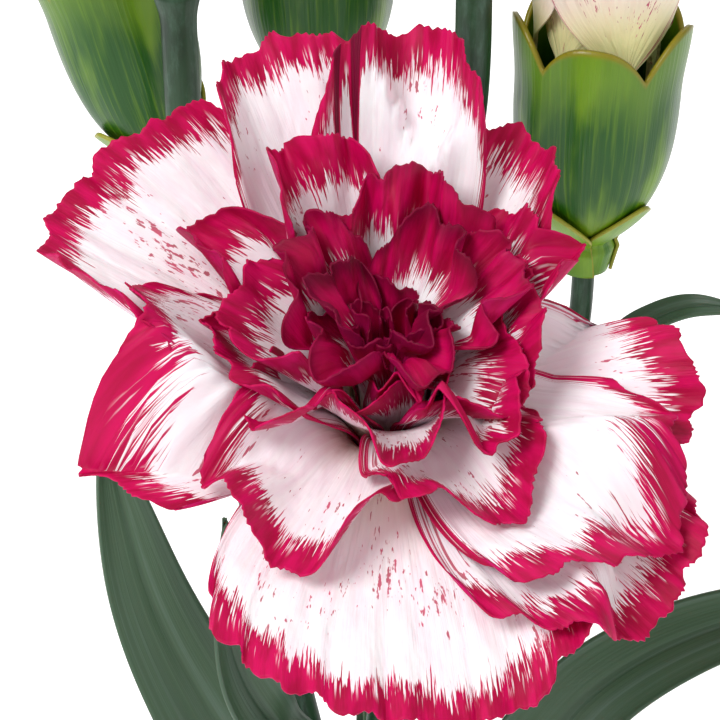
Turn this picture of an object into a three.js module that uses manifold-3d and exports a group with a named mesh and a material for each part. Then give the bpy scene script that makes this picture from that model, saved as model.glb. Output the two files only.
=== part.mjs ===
// A cut spray carnation: one open double bloom, three opening buds and two tight buds on one stem
// with paired leaves. Millimetres, +Z up. The origin is the centre of the flat cut end of the stem.
import * as THREE from 'three';
import { mergeVertices } from 'three/addons/utils/BufferGeometryUtils.js';
import Module from 'manifold-3d';

// ---------------------------------------------------------------- driving dimensions
const BLOOM_CENTRE = [0, -12, 123]; // middle of the calyx mouth of the open bloom
const NOD = 10; // degrees that the bloom leans towards -Y
const CALYX_LENGTH = 27;
const CALYX_RADIUS = 7.4; // outside, at the mouth of the bloom's calyx
const CALYX_WALL = 0.7;
const CLAW_LENGTH = 20; // the narrow foot of a petal, hidden in the calyx
const BUD_CLAW_LENGTH = 12;
const CLAW_HALF = 1;
const CLAW_THICK = 0.25;
const CLAW_SPACING = 0.52; // between the rings that the claws stand on
const FIRST_RING = 5.3; // the outermost ring of claws in the bloom
const BEND_RUN = 12; // length over which a petal turns outwards above the calyx mouth
const PETAL_THICK = 0.5;
const PETAL_CLEARANCE = 1.3; // between the middle surfaces of petals that lie on each other
const STEM_RADIUS = 2.4;
const NECK_RADIUS = 1.9;
const NODE_SWELL = 0.8; // extra radius of the stem's swollen joints
const NODE_HEIGHTS = [20, 44, 68];
const BRANCH_RADIUS = 1.45;
const BRACT_DROP = 4; // how far bracts reach down the stem below their calyx
const LEAF_THICK = 0.5;
const TOUCH_GAP = 0.35; // between pieces that touch on the plant
const TWIN_STEP = 0.006; // how far corners of one solid that meet at a point are drawn apart

const rad = THREE.MathUtils.degToRad;
const mix = THREE.MathUtils.lerp;
const clamp = THREE.MathUtils.clamp;
const smooth = THREE.MathUtils.smoothstep;
const vector = (point) => new THREE.Vector3(...point);

// ---------------------------------------------------------------- materials
const petalWhite = new THREE.MeshStandardMaterial({ color: 0xf6e9ee, roughness: 0.55 });
const budWhite = new THREE.MeshStandardMaterial({ color: 0xf3e6dc, roughness: 0.55 });
const calyxGreen = new THREE.MeshStandardMaterial({ color: 0x5f8a1c, roughness: 0.45 });
const stemGreen = new THREE.MeshStandardMaterial({ color: 0x2f5240, roughness: 0.6 });
const leafGreen = new THREE.MeshStandardMaterial({ color: 0x33604a, roughness: 0.6 });
const pistilGreen = new THREE.MeshStandardMaterial({ color: 0xb9c98a, roughness: 0.6 });

const flower = new THREE.Group();
flower.name = 'cut_carnation';

// Each mesh has a material of its own.
function addMesh(parent, name, geometry, material) {
  const mesh = new THREE.Mesh(geometry, material.clone());
  mesh.name = name;
  parent.add(mesh);
}

// ---------------------------------------------------------------- bent plates
// A thin closed plate: a box whose points are moved onto the surface middle(u, t), with u from -1 to 1
// across and t from 0 to 1 along, and thickened evenly to both sides of it. grow enlarges it all round.
function bentPlate(middle, thickness, across, along, grow = 0) {
  const geometry = new THREE.BoxGeometry(2, 1, 2, across, along, 1);
  const position = geometry.getAttribute('position');
  const step = 1e-3;
  for (let i = 0; i < position.count; i++) {
    const u = position.getX(i);
    const t = position.getY(i) + 0.5;
    const side = position.getZ(i);
    const alongU = middle(Math.min(u + step, 1), t).sub(middle(Math.max(u - step, -1), t));
    const alongT = middle(u, Math.min(t + step, 1)).sub(middle(u, Math.max(t - step, 0)));
    const normal = alongU.clone().cross(alongT).normalize();
    const point = middle(u, t).addScaledVector(normal, side * (thickness(u, t) / 2 + grow));
    if (Math.abs(u) > 0.999) point.addScaledVector(alongU.normalize(), Math.sign(u) * grow);
    if (Math.abs(t - 0.5) > 0.499) point.addScaledVector(alongT.normalize(), Math.sign(t - 0.5) * grow);
    position.setXYZ(i, point.x, point.y, point.z);
  }
  return geometry;
}

// ---------------------------------------------------------------- how petals stand
// Petals leave a calyx like the jets of a fountain. tilt is the angle from the flower's axis that a
// petal has bent to, azimuth goes round the axis, and run is the length along the petal from the mouth.
function fountain(tilt, azimuth, run, ring) {
  const bend = rad(Math.max(tilt, 0.5)) / BEND_RUN;
  const turned = bend * clamp(run, 0, BEND_RUN);
  const straight = Math.max(run - BEND_RUN, 0);
  const radius = ring + (1 - Math.cos(turned)) / bend + straight * Math.sin(turned);
  const height = Math.min(run, 0) + Math.sin(turned) / bend + straight * Math.cos(turned);
  const angle = rad(azimuth);
  return new THREE.Vector3(radius * Math.cos(angle), radius * Math.sin(angle), height);
}

// The half width of a petal at a share of its length from the mouth: a narrow claw, then a fan.
const halfWidth = (petal, share) =>
  mix(CLAW_HALF, petal.half, Math.sin((Math.PI / 2) * Math.pow(clamp(share, 0, 1), 1.15)));

// The degrees round the axis from a petal's middle to its edge, at a share of its length.
function spread(petal, share) {
  const radius = fountain(petal.tilt, 0, share * petal.reach, petal.ring).x;
  const widest = 2.2; // radians: a petal wraps no further round the axis than this
  return THREE.MathUtils.radToDeg(widest * Math.tanh(halfWidth(petal, share) / radius / widest));
}

// The rim is rounded: a petal is shorter towards its two corners.
const runAt = (petal, u, share) => share * petal.reach * (1 - 0.3 * Math.abs(u) ** 3);

// The tilt that a petal would take if nothing lay outside it.
function freeTilt(petal, u, share) {
  const grown = smooth(share, 0.15, 1);
  const lift = petal.liftLeft * smooth(-u, 0.3, 1) + petal.liftRight * smooth(u, 0.3, 1);
  const ruffle = petal.depth * Math.sin((Math.PI / 2) * petal.waves * u + petal.phase);
  return petal.tilt - lift * grown + ruffle * grown * grown;
}

// ---------------------------------------------------------------- how petals lie on each other
// The floor is the tilt that the petals laid so far leave free, on a grid of azimuth and run.
const AZIMUTH_STEP = 5;
const AZIMUTH_CELLS = 360 / AZIMUTH_STEP;
const RUN_STEP = 2.5;
const RUN_CELLS = 17;
const wrapped = (i) => ((i % AZIMUTH_CELLS) + AZIMUTH_CELLS) % AZIMUTH_CELLS;

// Combines every cell with its neighbours. Taking the lowest and then the mean smooths the floor
// without ever raising it.
function overNeighbours(grid, combine) {
  return grid.map((column, i) =>
    column.map((_, row) => {
      const sideways = row * RUN_STEP > 15 ? 1 : 2;
      const near = [];
      for (let a = -sideways; a <= sideways; a++)
        for (let r = Math.max(row - 1, 0); r <= Math.min(row + 1, RUN_CELLS - 1); r++)
          near.push(grid[wrapped(i + a)][r]);
      return combine(near);
    }),
  );
}
const lowest = (values) => Math.min(...values);
const mean = (values) => values.reduce((sum, value) => sum + value, 0) / values.length;

function sample(grid, azimuth, run) {
  const a = azimuth / AZIMUTH_STEP;
  const r = clamp(run / RUN_STEP, 0, RUN_CELLS - 1.001);
  const i = Math.floor(a);
  const row = Math.floor(r);
  const along = (column) => mix(column[row], column[row + 1], r - row);
  return mix(along(grid[wrapped(i)]), along(grid[wrapped(i + 1)]), a - i);
}

// The lesser of two tilts, rounded where they meet. It also keeps a petal off the axis.
function settle(wanted, allowed) {
  const soft = 1.5;
  const rounding = soft * Math.log1p(Math.exp(-Math.abs(wanted - allowed) / soft));
  return Math.max(Math.min(wanted, allowed) - rounding, 2.5);
}

// The share of its length and the place across at which a petal passes an azimuth and run.
function whereOn(petal, azimuth, run) {
  const turn = ((((azimuth - petal.azimuth + 540) % 360) + 360) % 360) - 180;
  let share = run / petal.reach;
  let u = 0;
  for (let pass = 0; pass < 4; pass++) {
    u = clamp(turn / spread(petal, Math.min(share, 1)), -1.3, 1.3);
    share = run / (petal.reach * (1 - 0.3 * Math.min(Math.abs(u), 1) ** 3));
  }
  return { u, share };
}

// The claws stand in rings: a petal steps inwards where its claw would stand in another's place.
function ringFor(petal, outer, first) {
  let ring = outer.length ? outer[outer.length - 1].ring : first;
  for (const other of outer) {
    const turn = Math.abs(((((petal.azimuth - other.azimuth + 540) % 360) + 360) % 360) - 180);
    if (rad(turn) * ring < 2 * CLAW_HALF + TOUCH_GAP) ring = Math.min(ring, other.ring - CLAW_SPACING);
  }
  return ring;
}

// Lays petals from the outermost to the innermost, each one on the floor that the others leave.
// A row: name, azimuth and tilt of its middle, reach and half width in mm, how many degrees its
// clockwise and anticlockwise edges lift, and its ruffles: half waves across, depth and phase.
function layPetals(rows, firstRing, claw) {
  let floor = Array.from({ length: AZIMUTH_CELLS }, () => new Array(RUN_CELLS).fill(170));
  const petals = [];
  for (const row of rows) {
    const [name, azimuth, tilt, reach, half, liftLeft, liftRight, waves, depth, phase] = row;
    const petal = { name, azimuth, tilt, reach, half, liftLeft, liftRight, waves, depth, phase, claw };
    petal.ring = ringFor(petal, petals, firstRing);
    const support = overNeighbours(overNeighbours(floor, lowest), mean);
    const allowed = (u, share) =>
      sample(support, petal.azimuth + u * spread(petal, share), runAt(petal, u, share));
    petal.tiltAt = (u, share) => settle(freeTilt(petal, u, share), allowed(u, share));
    floor = floor.map((column, i) =>
      column.map((level, cell) => {
        const run = cell * RUN_STEP;
        const { u, share } = whereOn(petal, i * AZIMUTH_STEP, run);
        if (Math.abs(u) > 1.08 || share > 1.08) return level;
        const room = THREE.MathUtils.radToDeg(PETAL_CLEARANCE / (0.8 * run + 4)) * smooth(run, 0, 6);
        return Math.min(level, petal.tiltAt(clamp(u, -1, 1), Math.min(share, 1)) - room);
      }),
    );
    petals.push(petal);
  }
  return petals;
}

// A point of a petal's middle surface. part runs from -1 at the foot of the claw, through 0 at the
// calyx mouth, to 1 at the rim.
function petalPoint(petal, u, part) {
  if (part < 0) {
    const turn = THREE.MathUtils.radToDeg(CLAW_HALF / petal.ring);
    return fountain(petal.tilt, petal.azimuth + u * turn, part * petal.claw, petal.ring);
  }
  const azimuth = petal.azimuth + u * spread(petal, part);
  return fountain(petal.tiltAt(u, part), azimuth, runAt(petal, u, part), petal.ring);
}

function petalPlate(petal, across, along, grow) {
  const part = (t) => (t * along < 1 ? t * along - 1 : (t * along - 1) / (along - 1));
  return bentPlate(
    (u, t) => petalPoint(petal, u, part(t)),
    (u, t) => mix(CLAW_THICK, PETAL_THICK, smooth(part(t), 0, 0.5)),
    across,
    along,
    grow,
  );
}

// ---------------------------------------------------------------- trimming where petals still meet
const manifold = await Module();
manifold.setup();

function toSolid(geometry) {
  const bare = geometry.clone().deleteAttribute('normal').deleteAttribute('uv');
  const merged = mergeVertices(bare, 1e-4);
  return new manifold.Manifold(
    new manifold.Mesh({
      numProp: 3,
      vertProperties: merged.getAttribute('position').array,
      triVerts: new Uint32Array(merged.index.array),
    }),
  );
}

function toGeometry(solid) {
  const mesh = solid.getMesh();
  const geometry = new THREE.BufferGeometry();
  geometry.setAttribute('position', new THREE.BufferAttribute(mesh.vertProperties, 3));
  geometry.setIndex(new THREE.BufferAttribute(mesh.triVerts, 1));
  geometry.computeVertexNormals();
  return partTwins(geometry);
}

// Where a cut leaves two corners of a solid at one point, each is drawn back a little into its own side.
function partTwins(geometry) {
  const position = geometry.getAttribute('position');
  const normal = geometry.getAttribute('normal');
  const at = (attribute, i) => new THREE.Vector3().fromBufferAttribute(attribute, i);
  const met = new Map();
  for (let i = 0; i < position.count; i++) {
    const key = at(position, i).toArray().map((value) => Math.round(value * 500)).join();
    met.set(key, [...(met.get(key) ?? []), i]);
  }
  for (const twins of met.values())
    if (twins.length > 1)
      for (const i of twins) {
        const point = at(position, i).addScaledVector(at(normal, i), -TWIN_STEP);
        position.setXYZ(i, point.x, point.y, point.z);
      }
  geometry.computeVertexNormals();
  return geometry;
}

// Adds laid petals to a flower. Where two still meet, the inner one is cut back to a small gap.
function addPetals(parent, prefix, petals, material, across, along) {
  const placed = [];
  for (const petal of petals) {
    const plate = petalPlate(petal, across, along, 0);
    const whole = toSolid(plate);
    let solid = whole;
    for (const outer of placed)
      for (const cutter of [outer.envelope, outer.close, outer.solid])
        if (solid.intersect(outer.solid).volume() > 0) solid = solid.subtract(cutter);
    if (solid !== whole) solid = solid.simplify(0.05).decompose().sort((a, b) => b.volume() - a.volume())[0];
    const grown = (gap) => toSolid(petalPlate(petal, across, along, gap));
    placed.push({ solid, envelope: grown(TOUCH_GAP), close: grown(TOUCH_GAP / 3) });
    addMesh(parent, prefix + petal.name, solid === whole ? plate : toGeometry(solid), material);
  }
}

// ---------------------------------------------------------------- calyces
// A turned cup whose upper edge rises into pointed lobes. outline is closed, in [radius, height]; the
// part of it above hem is drawn up at the lobes. turn moves the lobes round, as a share of one lobe.
function lobedCup(outline, lobes, rise, hem, segments, turn = 0) {
  const points = outline.map(([radius, height]) => new THREE.Vector2(radius, height));
  const geometry = new THREE.LatheGeometry(points, segments).rotateX(Math.PI / 2);
  const position = geometry.getAttribute('position');
  const top = Math.max(...outline.map(([, height]) => height));
  for (let i = 0; i < position.count; i++) {
    const height = position.getZ(i);
    const turns = (Math.atan2(position.getY(i), position.getX(i)) / (2 * Math.PI)) * lobes + lobes + turn;
    const lobe = 1 - Math.abs(2 * (turns % 1) - 1);
    const share = clamp((height - hem) / (top - hem), 0, 1);
    position.setZ(i, height + share * rise * (lobe - 1));
  }
  return geometry;
}

// The bloom's calyx is a straight tube, and a bud's is a full bowl. The height q runs from 0 to 1.
const tubeShape = (q) => 0.42 + 0.58 * (1 - (1 - q) ** 7);
const bowlShape = (q) => 0.25 + 0.75 * (1 - (1 - q) ** 4);

// The calyx of a flower: its foot sits at -length, and its lobes reach tip mm above the mouth.
function calyxOutline(shape, radius, length, tip, flare) {
  const wall = CALYX_WALL;
  const steps = [0.17, 0.35, 0.6, 0.98];
  const at = (q, inset) => [radius * shape(q) - inset, (q - 1) * length];
  return [
    [0, -length],
    at(0, 0),
    at(0.06, 0),
    ...steps.map((q) => at(q, 0)),
    [radius + flare, tip],
    [radius + flare - wall * 0.7, tip],
    ...steps.toReversed().map((q) => at(q, wall)),
    [0, -0.83 * length],
  ];
}

// The bracts that clasp the foot of a calyx: a short cup with four points, drawn down along the stem.
function bractCup(shape, radius, length, height) {
  const gap = TOUCH_GAP;
  const at = (q, inset) => [radius * shape(q) + inset, (q - 1) * length];
  const outline = [
    [2.9, -length - BRACT_DROP],
    at(0, gap + 0.6),
    at(0.06, gap + 0.8),
    at(0.17, gap + 0.8),
    at(height, gap + 0.6),
    at(height, gap + 0.1),
    at(0.17, gap + 0.2),
    at(0.06, gap + 0.2),
    at(0, gap),
    [2.4, -length - BRACT_DROP],
    [2.9, -length - BRACT_DROP],
  ];
  return lobedCup(outline, 4, (height - 0.08) * length, -0.94 * length, 16);
}

// A flower stands in a group whose origin is its calyx mouth and whose +Z is its own axis.
function flowerGroup(mouth, axis) {
  const group = new THREE.Group();
  group.position.copy(vector(mouth));
  group.quaternion.setFromUnitVectors(new THREE.Vector3(0, 0, 1), axis.clone().normalize());
  flower.add(group);
  return group;
}

// Where the foot of a calyx is, for the stem that carries it.
const footOf = (group, length) => group.localToWorld(new THREE.Vector3(0, 0, -length - TOUCH_GAP));

// ---------------------------------------------------------------- the open bloom
const bloomAxis = new THREE.Vector3(0, -Math.sin(rad(NOD)), Math.cos(rad(NOD)));
const bloom = flowerGroup(BLOOM_CENTRE, bloomAxis);

const BLOOM_PETALS = [
  ['front_guard', -87, 98, 39, 30, 5, 5, 3, 4, 0.3],
  ['left_guard', 155, 60, 40, 30, 2, 8, 3, 6, 1.2],
  ['right_guard', -45, 98, 36.5, 20, 3, 3, 3, 4, 2.0],
  ['back_left_guard', 112, 46, 41.5, 15, 6, 2, 3, 5, 0.6],
  ['right_back_guard', 50, 42, 33, 13, 4, 4, 3, 5, 1.0],
  ['left_low', 193, 90, 33, 18, 3, 6, 3, 5, 2.6],
  ['right_high', -11, 76, 32, 14, 4, 4, 3, 6, 2.4],
  ['back_top', 86, 43, 41.3, 15.5, 8, 8, 3, 6, 1.6],
  ['right_big', -41, 88, 34.5, 19, 4, 12, 3, 6, 0.4],
  ['front_left_fold', -119, 80, 27, 16, 10, 8, 4, 10, 0.2],
  ['back_right', 24, 46, 28, 13, 8, 8, 3, 8, 0.9],
  ['left_front_small', -162, 58, 25, 13, 10, 16, 3, 10, 2.2],
  ['front_right_fold', -62, 74, 25, 15, 10, 12, 4, 10, 1.1],
  ['left_upright', 158, 48, 30, 9, 16, 16, 3, 8, 2.9],
  ['right_ruffle', 2, 46, 25, 12, 8, 8, 4, 10, 0.5],
  ['back_left_inner', 121, 33, 32, 13, 8, 10, 3, 8, 1.9],
  ['front_right_lobe', -30, 44, 22, 12, 6, 8, 3, 8, 2.7],
  ['left_face', 184, 42, 26, 13, 8, 8, 3, 8, 0.1],
  ['front_left_lobe', -114, 31, 18.5, 9.5, 6, 6, 3, 9, 1.4],
  ['front_lobe', -64, 31, 18.5, 9.5, 6, 6, 3, 9, 2.5],
  ['crown_back', 78, 30, 29, 14, 6, 6, 4, 9, 0.8],
  ['crown_right', 14, 34, 26, 13, 6, 6, 4, 9, 2.1],
  ['crown_left', 150, 28, 27, 12, 4, 4, 4, 8, 1.5],
  ['crown_front_left', -140, 25, 22, 11, 4, 4, 4, 8, 0.2],
  ['crown_front', -50, 24, 21, 11, 4, 4, 4, 8, 2.8],
  ['crown_back_right', 50, 20, 26, 11, 3, 3, 4, 7, 1.0],
  ['heart_left', 170, 15, 24, 10, 2, 2, 3, 5, 0.5],
  ['heart_right', -30, 12, 21, 9, 2, 2, 3, 4, 2.0],
];
addPetals(bloom, 'petal_', layPetals(BLOOM_PETALS, FIRST_RING, CLAW_LENGTH), petalWhite, 8, 6);

const bloomCalyx = calyxOutline(tubeShape, CALYX_RADIUS, CALYX_LENGTH, 4.5, 1.3);
addMesh(bloom, 'bloom_calyx', lobedCup(bloomCalyx, 5, 4, -0.5, 20), calyxGreen);
addMesh(bloom, 'bloom_bracts', bractCup(tubeShape, CALYX_RADIUS, CALYX_LENGTH, 0.36), calyxGreen);

// The ovary and its style stand on a receptacle that carries the claws.
const pistilOutline = [
  [0, -22.1],
  [5, -22.1],
  [5.2, -20.8],
  [1.3, -20.4],
  [1.5, -15],
  [0.4, -10],
  [0.4, -2],
  [0, -1.8],
].map(([radius, height]) => new THREE.Vector2(radius, height));
const pistil = new THREE.LatheGeometry(pistilOutline, 16).rotateX(Math.PI / 2);
addMesh(bloom, 'pistil', pistil, pistilGreen);

// ---------------------------------------------------------------- stem and branches
// A round limb along a smooth curve, with a radius that changes along it.
function limb(points, radiusAt, around, along) {
  const curve = new THREE.CatmullRomCurve3(points.map(vector), false, 'centripetal');
  const geometry = new THREE.CylinderGeometry(1, 1, 1, around, along);
  const position = geometry.getAttribute('position');
  for (let i = 0; i < position.count; i++) {
    const t = clamp(position.getY(i) + 0.5, 0, 1);
    const tangent = curve.getTangentAt(t);
    const front = new THREE.Vector3(1, 0, 0).cross(tangent).normalize();
    const side = tangent.clone().cross(front);
    const point = curve.getPointAt(t);
    const radius = radiusAt(t, point);
    point.addScaledVector(side, position.getX(i) * radius);
    point.addScaledVector(front, position.getZ(i) * radius);
    position.setXYZ(i, point.x, point.y, point.z);
  }
  return geometry;
}

const bloomFoot = footOf(bloom, CALYX_LENGTH).toArray();
const stemCourse = [[0, 0, 0], [0, 0, 30], [0, 0, 58], [0, -1.6, 76], bloomFoot];
const swelling = (height) =>
  NODE_HEIGHTS.reduce((sum, node) => sum + NODE_SWELL * Math.exp(-(((height - node) / 2.6) ** 2)), 0);
const stemRadius = (t, point) => mix(STEM_RADIUS, NECK_RADIUS, t) + swelling(point.z);
addMesh(flower, 'stem', limb(stemCourse, stemRadius, 8, 36), stemGreen);

// ---------------------------------------------------------------- side flowers
// name, calyx mouth, calyx axis, calyx radius and length, height of its lobes, course of its branch.
const SIDE_FLOWERS = [
  ['right_bud', [24, 30, 147], [0.8, 2, 26], 9.4, 24, 4,
    [[4.6, 0, 47.6], [8.5, 5, 62], [15, 15, 88], [22, 25, 108]]],
  ['left_bud', [-31.5, 34.5, 155], [-6, 1, 25], 8, 25, 3.5,
    [[-4.6, 0, 47.6], [-9, 6, 68], [-17, 19, 96], [-25, 31, 115]]],
  ['centre_bud', [-8, 45, 158], [-0.5, 1, 26], 9.2, 25, 3.5,
    [[0, 4.6, 71.6], [-1, 12, 84], [-4, 34, 108], [-7, 43, 124]]],
  ['small_bud_right', [9.6, 24.5, 189], [0.2, 0.5, 26], 4.8, 22, 2,
    [[-0.8, 29.5, 106], [4, 28.5, 118], [9, 25, 140]]],
  ['small_bud_left', [-22.5, 21.5, 180], [0.1, 0.2, 22], 4.6, 21, 2,
    [[-13.2, 13.4, 92], [-16.5, 15.5, 106], [-21.5, 19.5, 132]]],
];

// The petals that show in an opening bud, in the same columns as those of the bloom.
const BUD_PETALS = {
  right_bud: [
    ['front', -72, 25, 21, 17, 3, 3, 3, 4, 0.6],
    ['right', 30, 19, 21, 15, 3, 3, 3, 4, 1.9],
    ['left', 168, 21, 20, 14, 2, 2, 3, 3, 0.2],
  ],
  left_bud: [
    ['front', -60, 24, 19, 15, 3, 3, 3, 4, 2.0],
    ['back', 80, 17, 19, 13, 3, 3, 3, 4, 0.4],
    ['left', 190, 15, 18, 12, 2, 2, 3, 3, 1.1],
  ],
  centre_bud: [
    ['front', -80, 12, 15, 13, 3, 3, 3, 4, 1.2],
    ['back', 95, 9, 15, 12, 2, 2, 3, 3, 0.3],
  ],
};

// A tight bud is a closed calyx whose lobes meet in a point.
function tightOutline(radius, length) {
  return [
    [0, -length],
    [0.45 * radius, -length],
    [0.85 * radius, -0.85 * length],
    [radius, -0.5 * length],
    [0.93 * radius, -0.22 * length],
    [0.5 * radius, -0.05 * length],
    [0, 0],
  ];
}

for (const [name, mouth, axis, radius, length, tip, course] of SIDE_FLOWERS) {
  const group = flowerGroup(mouth, vector(axis));
  const petals = BUD_PETALS[name];
  if (petals) {
    const outline = calyxOutline(bowlShape, radius, length, tip, 0.7);
    addMesh(group, `${name}_calyx`, lobedCup(outline, 5, tip, -0.5, 20, 0.875), calyxGreen);
    addMesh(group, `${name}_bracts`, bractCup(bowlShape, radius, length, 0.27), calyxGreen);
    const laid = layPetals(petals, 0.92 * radius - CALYX_WALL - 0.5, BUD_CLAW_LENGTH);
    addPetals(group, `${name}_petal_`, laid, budWhite, 6, 5);
  } else {
    const points = tightOutline(radius, length).map(([r, h]) => new THREE.Vector2(r, h));
    addMesh(group, `${name}_calyx`, new THREE.LatheGeometry(points, 16).rotateX(Math.PI / 2), calyxGreen);
  }
  const branch = [...course, footOf(group, length).toArray()];
  const branchRadius = (t) => mix(BRANCH_RADIUS, 0.85 * BRANCH_RADIUS, t) * (petals ? 1 : 1.5);
  addMesh(flower, `${name}_branch`, limb(branch, branchRadius, 7, 12), stemGreen);
}

// ---------------------------------------------------------------- leaves
// A leaf clasps the stem at height, leaves it at azimuth, and passes its [out, up] points measured
// from its node. fold is how far its edges rise above its middle, as a share of its half width, and
// twist is how many degrees its blade turns about its own length.
const LEAVES = [
  ['leaf_lower_front', 0, 0, 20, -90, 3.4, [[6.5, 3], [11, 13], [26, 28], [46, 33], [63, 27]], 0.35, 15],
  ['leaf_lower_back', 0, 0, 20, 90, 3.4, [[6.5, 3], [10, 15], [22, 36], [40, 47], [57, 46]], 0.35, -20],
  ['leaf_middle_left', 0, 0, 44, 178, 6.8, [[8.2, 2.6], [13, 14], [21, 31], [27, 48], [31, 70]], 0.16, -76],
  ['leaf_middle_right', 0, 0, 44, 2, 6, [[8.2, 2.6], [14, 15], [25, 34], [42, 44], [60, 44]], 0.2, 58],
  ['leaf_upper_front', 0, 0, 68, -150, 4.2, [[6.8, 3], [13, 9], [18, 19], [20, 30], [20, 43]], 0.25, -70],
  ['leaf_upper_back', 0, 0, 68, 84, 3.6, [[7.8, 2.4], [13, 8], [24, 14], [40, 12], [54, 2]], 0.4, 20],
  ['leaf_branch_right', 22.6, 25.6, 106, -14, 1.9, [[4, 4], [8, 8], [13, 11], [19, 11.5]], 0.3, 30],
];

function leafPlate(x, y, height, azimuth, half, path, fold, twist) {
  const start = x ? 1.9 : 3.5;
  const course = [[start, 0], ...path].map(([out, up]) => new THREE.Vector2(out, up));
  const curve = new THREE.SplineCurve(course);
  const turn = rad(azimuth);
  const out = new THREE.Vector3(Math.cos(turn), Math.sin(turn), 0);
  const side = new THREE.Vector3(-Math.sin(turn), Math.cos(turn), 0);
  const up = new THREE.Vector3(0, 0, 1);
  const middle = (u, t) => {
    const at = curve.getPointAt(clamp(t, 0, 1));
    const along = curve.getTangentAt(clamp(t, 0, 1));
    const width = half * Math.min(1, 0.55 + 3 * t) * Math.pow(Math.max(1 - t ** 2.2, 0), 0.7) + 0.25;
    const wring = rad(twist) * smooth(t, 0.08, 0.45);
    const rise = out.clone().multiplyScalar(-along.y).addScaledVector(up, along.x);
    const lengthwise = side.clone().cross(rise);
    const broad = side.clone().applyAxisAngle(lengthwise, wring);
    return new THREE.Vector3(x, y, height)
      .addScaledVector(out, at.x)
      .addScaledVector(up, at.y)
      .addScaledVector(broad, u * width)
      .addScaledVector(rise.applyAxisAngle(lengthwise, wring), fold * width * u * u);
  };
  return bentPlate(middle, () => LEAF_THICK, 4, 12);
}

for (const [name, x, y, height, azimuth, half, path, fold, twist] of LEAVES)
  addMesh(flower, name, leafPlate(x, y, height, azimuth, half, path, fold, twist), leafGreen);

export default flower;
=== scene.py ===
# %% [markdown]
# # A cut spray carnation
# One open double bloom leans towards the front on a jointed stem, with three opening buds, two tight
# buds and narrow paired leaves behind and below it. All shapes are worked out in millimetres, in the
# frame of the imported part: the origin is the middle of the cut end of the stem, and +Z is up.

# %% Tools and the frame
import bpy
import numpy as np
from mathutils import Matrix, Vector


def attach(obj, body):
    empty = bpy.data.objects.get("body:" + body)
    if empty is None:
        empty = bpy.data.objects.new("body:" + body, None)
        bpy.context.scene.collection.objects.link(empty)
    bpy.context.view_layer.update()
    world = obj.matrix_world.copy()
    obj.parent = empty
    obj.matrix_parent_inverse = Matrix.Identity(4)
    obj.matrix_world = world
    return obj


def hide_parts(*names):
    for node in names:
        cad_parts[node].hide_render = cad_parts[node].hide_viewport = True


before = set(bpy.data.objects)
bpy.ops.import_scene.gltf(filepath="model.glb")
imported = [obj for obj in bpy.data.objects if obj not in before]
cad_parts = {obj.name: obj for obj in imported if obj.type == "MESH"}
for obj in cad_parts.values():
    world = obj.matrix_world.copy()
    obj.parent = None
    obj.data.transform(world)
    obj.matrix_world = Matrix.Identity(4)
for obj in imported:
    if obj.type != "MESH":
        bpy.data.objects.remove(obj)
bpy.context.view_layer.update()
print("the packed part has", len(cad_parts), "nodes")

# %% [markdown]
# ## Sheets of plant tissue
# Petals, leaves, calyces and stems are all thin skins. Each one could be pulled into shape by hand, but
# a ruffled petal has thousands of points, so here each skin is a grid of points from a formula. Every
# point also carries three marks, such as how far it is from the petal's rim, and the colours are
# painted by those marks: the crimson edge then follows every ruffle by itself.

# %% A skin from a grid of points
MM = 0.001


def skin(name, grid, marks, finishes, node=None, slot=None, thick=0.0, ring=False, outward=False):
    """A mesh through grid (rows, columns, 3), in mm. ring joins its last column to its first."""
    rows, columns = grid.shape[:2]
    index = np.arange(rows * columns).reshape(rows, columns)
    if ring:
        index = np.hstack([index, index[:, :1]])
    corners = [index[:-1, :-1], index[1:, :-1], index[1:, 1:], index[:-1, 1:]]
    quads = np.stack(corners[::-1] if outward else corners, -1).reshape(-1, 4)
    mesh = bpy.data.meshes.new(name)
    mesh.from_pydata((grid.reshape(-1, 3) * MM).tolist(), [], quads.tolist())
    mesh.attributes.new("marks", "FLOAT_VECTOR", "POINT").data.foreach_set("vector", marks.reshape(-1))
    mesh.shade_smooth()
    piece = bpy.data.objects.new(name, mesh)
    bpy.context.collection.objects.link(piece)
    for finish in finishes:
        mesh.materials.append(finish)
    if thick:
        solid = piece.modifiers.new("thickness", "SOLIDIFY")
        solid.thickness, solid.offset = thick * MM, 0 if len(finishes) > 1 else -1
        solid.material_offset = len(finishes) - 1
        solid.use_even_offset = False
    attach(piece, "root")
    if node:
        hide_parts(node)


def smooth(x, low, high):
    """0 below low, 1 above high, and a soft step between."""
    t = np.clip((np.asarray(x, float) - low) / (high - low), 0, 1)
    return t * t * (3 - 2 * t)


def wander(x, dice, waves):
    """A soft random line along x: waves is a list of (wavelength, height)."""
    return sum(h * np.sin(2 * np.pi * (x / w + dice.random())) for w, h in waves)


# %% [markdown]
# ## How petals stand
# A carnation's petals stand in a tube, the calyx, on long narrow claws, and spread out above its mouth
# like the jets of a fountain. So a place on a petal is given by its azimuth round the flower, its run
# along the petal from the mouth, and its tilt, the angle it has bent out from the axis.

# %% Fountain coordinates
BEND_RUN = 12  # mm over which a petal turns outwards
CLAW_HALF = 1.0  # mm


def fountain(tilt, azimuth, run, ring):
    """The point, in the flower's own frame, of a petal that stands on a ring of that radius."""
    bend = np.radians(np.maximum(tilt, 0.5)) / BEND_RUN
    turned = bend * np.clip(run, 0, BEND_RUN)
    straight = np.maximum(run - BEND_RUN, 0)
    radius = ring + (1 - np.cos(turned)) / bend + straight * np.sin(turned)
    height = np.minimum(run, 0) + np.sin(turned) / bend + straight * np.cos(turned)
    angle = np.radians(azimuth)
    return np.stack([radius * np.cos(angle), radius * np.sin(angle), height], -1)


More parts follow.
